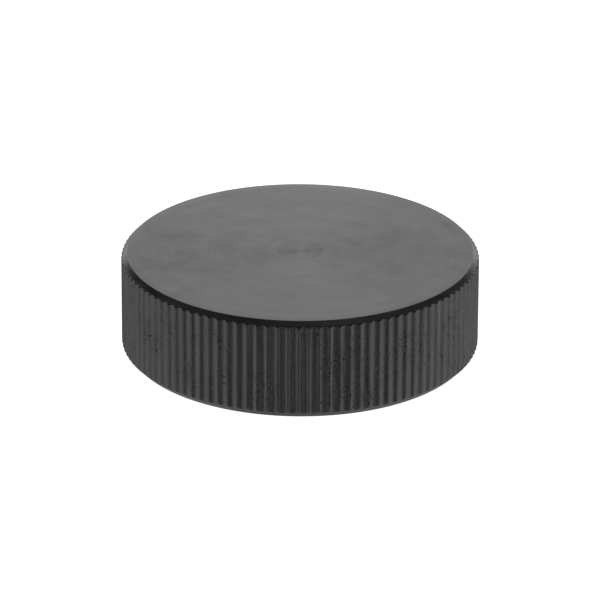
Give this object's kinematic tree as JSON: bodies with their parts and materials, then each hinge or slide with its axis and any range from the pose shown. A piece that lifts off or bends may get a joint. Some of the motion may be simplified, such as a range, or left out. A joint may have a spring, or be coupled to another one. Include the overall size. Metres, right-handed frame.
{
  "type": "pipe cap",
  "caption": "Round screw-on pipe cap with a straight-knurled side, a flat closed top, an internal pipe thread and a captive flat gasket with its slip washer.",
  "frame": {"origin": "centre of the open rim's face, on the cap's axis, which is the lowest point of the cap as it stands", "axes": "+Z along the cap's axis from the open mouth to the closed top; X and Y are any two directions across it, with a knurl crest on +X"},
  "size_m": [0.07, 0.07, 0.0202],
  "materials": {
    "turned_plastic": "turned and knurled black acetal, satin with fine tool marks",
    "gasket_rubber": "moulded black rubber, matte",
    "washer_plastic": "skived white fluoropolymer, waxy"
  },
  "bodies": {
    "cap": {"cap_body": "turned_plastic"},
    "washer": {"slip_washer": "washer_plastic"},
    "gasket": {"seal_gasket": "gasket_rubber"}
  },
  "joints": [
    {"name": "seal_float", "type": "slide", "parent": "cap", "child": "washer", "axis": [0, 0, 1], "range_m": [0, 0.0004]},
    {"name": "gasket_turn", "type": "hinge", "parent": "washer", "child": "gasket", "pos_m": [0, 0, 0.0153], "axis": [0, 0, 1], "continuous": true}
  ]
}
